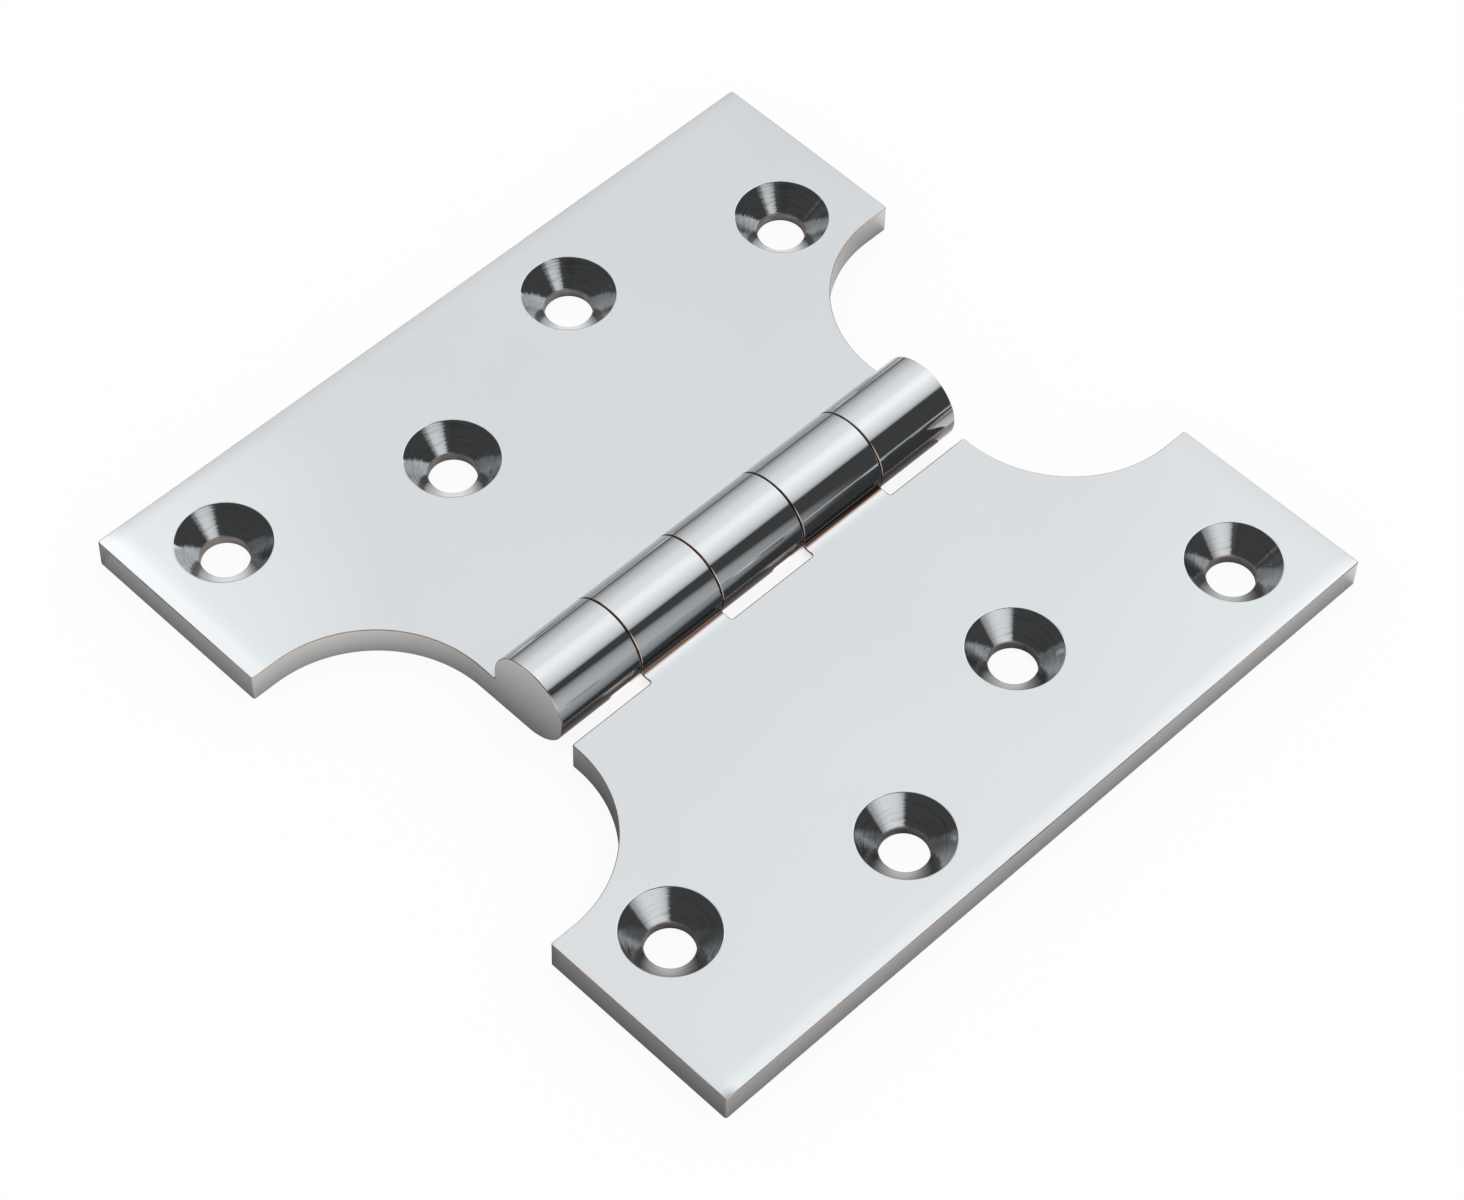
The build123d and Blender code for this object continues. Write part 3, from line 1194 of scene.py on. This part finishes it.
    def floor_shadow(self) -> None:
        """Shade the floor close round the hinge and in its slots, as its polished sides mirror it."""
        reach, small, start = Leaf.cutout_reach, Leaf.corner_radius, (0, -Leaf.barrel_end, 0)
        quarter = [(reach, Leaf.barrel_end, Leaf.cutout_radius), (reach, Leaf.half_length, small),
                   (Leaf.half_width, Leaf.half_length, small)]
        turns = ((1, -1, 1), (1, 1, -1), (-1, 1, 1), (-1, -1, -1))
        outline = rounded_path([start] + [(x * side, y * end, radius) for side, end, order in turns
                                          for x, y, radius in quarter[::order]] + [start])
        level, near_end, rows, shades = self.floor_cards, 0.5 - Leaf.barrel_end, [], []
        for step, shade in zip(self.shadow_steps, self.shadow_shades):
            moved = inset_path(outline, -step)
            facing = [(there - here) / max(step, 0.01) for here, there in zip(outline, moved)]
            rows.append([(point.x, point.y, level) for point in moved])
            lit = [shade * (1 + self.shadow_lean * max(way.x, self.left_limit))
                   + (self.far_shade - shade) * max(way.y, 0.0) * self.far_lean for way in facing]
            shades.append([near * (1 - self.end_lean * max(-1.0, min(1.0, point.x / self.end_reach)))
                           if point.y < near_end else near for near, point in zip(lit, moved)])
        shades[0] = [shade * self.shadow_shades[0] / self.shadow_shades[1] for shade in shades[1]]
        self.card("floor_shadow", rows, shades)
        lit = {-31.3: 0, -22.4: 0, -21.8: 1, -19: 1, -18.9: 0, 3.5: 0, 4.1: 1, 6.8: 1, 6.9: 0, 31.3: 0}
        self.card("slot_floor", [[(x, y, level) for x in (-8, 5.5, 5.7, 8)] for y in lit],
                  [[self.slot_shade + share * self.slot_end_shade] * 2 + [self.slot_shade] * 2
                   for share in lit.values()])


@dataclass
class Plug:
    """One of the plugs that close the bore over the pin. Sizes are in mm."""

    name: str
    node: str
    outer: float
    inner: float
    radius: float = 2.995
    chamfer: float = 0.3
    segments: int = 128

    def build(self, finish: bpy.types.Material) -> None:
        """Turn the plug and let it stand for its CAD node.

        Args:
            finish: The plug's material.
        """
        way = math.copysign(self.chamfer, self.outer - self.inner)
        profile = [(0.0, self.outer), (self.radius, self.outer), (self.radius, self.inner + way),
                   (self.radius - self.chamfer, self.inner), (0.0, self.inner)]
        shape = bmesh.new()
        rings = [[shape.verts.new((radius * MM * math.cos(angle), y * MM, radius * MM * math.sin(angle)))
                  for angle in [math.tau * step / self.segments for step in range(self.segments if radius else 1)]]
                 for radius, y in profile]
        for ring, following in zip(rings, rings[1:]):
            for step in range(self.segments):
                around = [ring[step % len(ring)], ring[(step + 1) % len(ring)],
                          following[(step + 1) % len(following)], following[step % len(following)]]
                shape.faces.new(list(dict.fromkeys(around)))
        bmesh.ops.recalc_face_normals(shape, faces=shape.faces[:])
        mesh = bpy.data.meshes.new(self.name)
        shape.to_mesh(mesh)
        shape.free()
        mesh.shade_smooth()
        mesh.set_sharp_from_angle(angle=math.radians(30))
        mesh.materials.append(finish)
        plug = placed(self.name, mesh)
        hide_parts(self.node)
        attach(plug, "frame_side")
        LOG.info("%s: %d faces", self.name, len(mesh.polygons))


def main() -> None:
    """Build the camera, the studio and the hinge, and report each."""
    logging.basicConfig(level=logging.INFO, format="%(name)s: %(message)s")
    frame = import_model()
    Camera().build()
    Studio().build()
    effects = Effects()
    faced = FacedEnd(effects).material()
    edge = SatinEdge(effects).material()
    ground = SatinEdge(effects, name="ground_back", roughness=0.36, across=(2600.0, 55.0, 0.0),
                       line_depth=1.2e-6).material()
    finishes = {"Front Finish": PolishedFront(effects).material(), "Back Finish": ground, "Edge Finish": edge,
                "Hole Finish": TurnedHole(effects).material(), "Barrel Finish": PolishedBarrel(effects).material(),
                "End Finish": faced}
    door_barrel = PolishedBarrel(effects, name="polished_door_barrel", lean=0.04).material()
    section = EdgeTree().rim_profile()
    Leaf("frame_leaf_metal", "frame_leaf", "frame_side", ((-31.5, -19.37), (-6.43, 6.43), (19.37, 31.5)),
         math.pi, 3.0, slot_reach=6.95).build(section, finishes)
    Leaf("door_leaf_metal", "door_leaf", "door_side", ((-19.23, -6.57), (6.57, 19.23)),
         0.0, 3.05, slot_reach=7.0).build(section, finishes | {"Barrel Finish": door_barrel})
    Plug("top_plug_metal", "top_end_plug", 31.5, 30.0).build(faced)
    Plug("bottom_plug_metal", "bottom_end_plug", -31.5, -30.0).build(faced)
    pin = frame["nodes"]["hinge_pin"]
    pin.data.materials.clear()
    pin.data.materials.append(Finish(effects, name="drawn_pin", roughness=0.2, swing=0.2).material())
    LOG.info("dressed hinge_pin")


if __name__ == "__main__":
    main()
